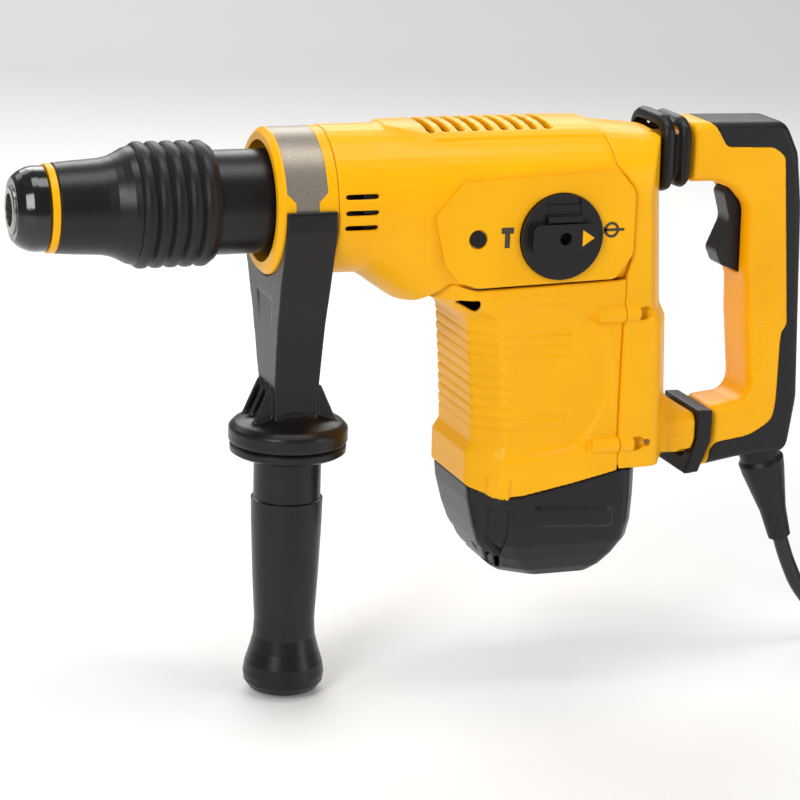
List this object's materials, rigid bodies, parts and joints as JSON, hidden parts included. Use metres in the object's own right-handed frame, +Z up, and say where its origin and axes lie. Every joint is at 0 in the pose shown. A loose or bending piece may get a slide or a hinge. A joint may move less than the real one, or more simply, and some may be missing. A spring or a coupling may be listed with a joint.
{
  "type": "demolition hammer",
  "caption": "Corded combination hammer with an upright motor, a clamped side handle, a mode dial and a sprung rear D handle.",
  "frame": {"origin": "mouth of the tool socket on the spindle axis", "axes": "X along the spindle, +X from the nose to the rear handle; +Z up, away from the motor; the mode dial is on the -Y side"},
  "size_m": [0.714, 0.138, 0.3302],
  "materials": {
    "yellow_plastic": "satin moulded",
    "black_plastic": "satin moulded",
    "black_rubber": "soft moulded",
    "gloss_rubber": "polished moulded",
    "painted_strap": "speckled satin",
    "bright_steel": "ground",
    "cast_alloy": "die cast",
    "copper_winding": "varnished",
    "board_green": "varnished"
  },
  "bodies": {
    "housing": {"gear_housing": "yellow_plastic", "dial_plate": "yellow_plastic", "plate_screw": "black_plastic", "gear_frame": "cast_alloy", "motor_housing": "yellow_plastic", "motor_cap": "black_plastic", "rear_housing": "yellow_plastic", "body_screws": "bright_steel", "control_board": "board_green", "barrel_tube": "black_plastic", "front_bearing": "bright_steel", "rear_bearing": "bright_steel", "stator": "bright_steel", "upper_bearing": "bright_steel", "lower_bearing": "bright_steel", "brushes": "copper_winding", "pivot_pin": "bright_steel", "upper_boot": "black_rubber", "lower_boot": "black_rubber", "damper_spring": "bright_steel"},
    "spindle": {"tool_holder": "bright_steel", "cylinder": "bright_steel", "bevel_gear": "bright_steel", "dust_cap": "gloss_rubber", "lock_rollers": "bright_steel", "lock_spring": "bright_steel"},
    "sleeve": {"lock_sleeve": "black_plastic", "sleeve_grip": "black_rubber", "sleeve_ring": "yellow_plastic", "lock_ring": "bright_steel"},
    "striker": {"beat_piece": "bright_steel"},
    "ram": {"ram": "bright_steel"},
    "piston": {"piston": "bright_steel"},
    "crank": {"crank": "bright_steel"},
    "intermediate": {"inter_gear": "bright_steel"},
    "rotor": {"rotor": "copper_winding", "fan": "black_plastic"},
    "dial": {"mode_dial": "black_plastic", "dial_pointer": "yellow_plastic"},
    "button": {"dial_button": "black_plastic"},
    "clamp": {"clamp_ring": "yellow_plastic", "clamp_strap": "painted_strap", "clamp_cradle": "black_plastic", "clamp_bolt": "bright_steel"},
    "grip": {"side_grip": "black_rubber"},
    "handle": {"handle_left": "yellow_plastic", "handle_right": "yellow_plastic", "handle_pad": "black_rubber", "trigger_pin": "bright_steel", "trigger_spring": "bright_steel", "switch_body": "black_plastic", "cord_guard": "black_rubber", "cord_tube": "black_rubber", "cord_coil": "black_rubber", "cord_tail": "black_rubber", "plug_body": "black_rubber", "plug_pins": "bright_steel"},
    "trigger": {"trigger": "black_plastic"}
  },
  "joints": [
    {"name": "rotor_turn", "type": "hinge", "parent": "housing", "child": "rotor", "pos_m": [0.29675, 0, -0.1], "axis": [0, 0, 1], "continuous": true},
    {"name": "crank_turn", "type": "hinge", "parent": "housing", "child": "crank", "pos_m": [0.263, 0, -0.04], "axis": [0, 0, 1], "continuous": true},
    {"name": "intermediate_turn", "type": "hinge", "parent": "housing", "child": "intermediate", "pos_m": [0.22175, 0, -0.04], "axis": [0, 0, 1], "continuous": true},
    {"name": "spindle_turn", "type": "hinge", "parent": "housing", "child": "spindle", "pos_m": [0.1, 0, 0], "axis": [1, 0, 0], "continuous": true},
    {"name": "sleeve_pull", "type": "slide", "parent": "spindle", "child": "sleeve", "axis": [1, 0, 0], "range_m": [0, 0.008], "stiffness_N_per_m": 600, "springref_m": -0.012, "deforming": ["lock_spring"]},
    {"name": "striker_slide", "type": "slide", "parent": "spindle", "child": "striker", "axis": [1, 0, 0], "range_m": [-0.003, 0]},
    {"name": "ram_slide", "type": "slide", "parent": "spindle", "child": "ram", "axis": [1, 0, 0], "range_m": [-0.008, 0.008]},
    {"name": "piston_slide", "type": "slide", "parent": "housing", "child": "piston", "axis": [1, 0, 0], "range_m": [0, 0.028]},
    {"name": "dial_turn", "type": "hinge", "parent": "housing", "child": "dial", "pos_m": [0.297, -0.05, -0.016], "axis": [0, -1, 0], "range_deg": [0, 180]},
    {"name": "button_slide", "type": "slide", "parent": "dial", "child": "button", "axis": [0, 0, 1], "range_m": [0, 0.002], "stiffness_N_per_m": 400, "springref_m": -0.003},
    {"name": "clamp_turn", "type": "hinge", "parent": "housing", "child": "clamp", "pos_m": [0.1576, 0, 0], "axis": [1, 0, 0], "continuous": true},
    {"name": "grip_turn", "type": "hinge", "parent": "clamp", "child": "grip", "pos_m": [0.1576, 0, -0.2], "axis": [0, 0, 1], "continuous": true},
    {"name": "handle_rock", "type": "hinge", "parent": "housing", "child": "handle", "pos_m": [0.386, 0, -0.148], "axis": [0, 1, 0], "range_deg": [-1.2, 1.2], "stiffness_Nm_per_rad": 900, "deforming": ["upper_boot", "lower_boot", "damper_spring"]},
    {"name": "trigger_pull", "type": "hinge", "parent": "handle", "child": "trigger", "pos_m": [0.427, 0, -0.004], "axis": [0, -1, 0], "range_deg": [0, 8], "stiffness_Nm_per_rad": 1.5, "springref_deg": -17.19, "deforming": ["trigger_spring"]}
  ],
  "couplings": [
    {"joint": "crank_turn", "follows": "rotor_turn", "ratio": -0.17391},
    {"joint": "intermediate_turn", "follows": "rotor_turn", "ratio": 0.4},
    {"joint": "spindle_turn", "follows": "rotor_turn", "ratio": -0.11111}
  ]
}
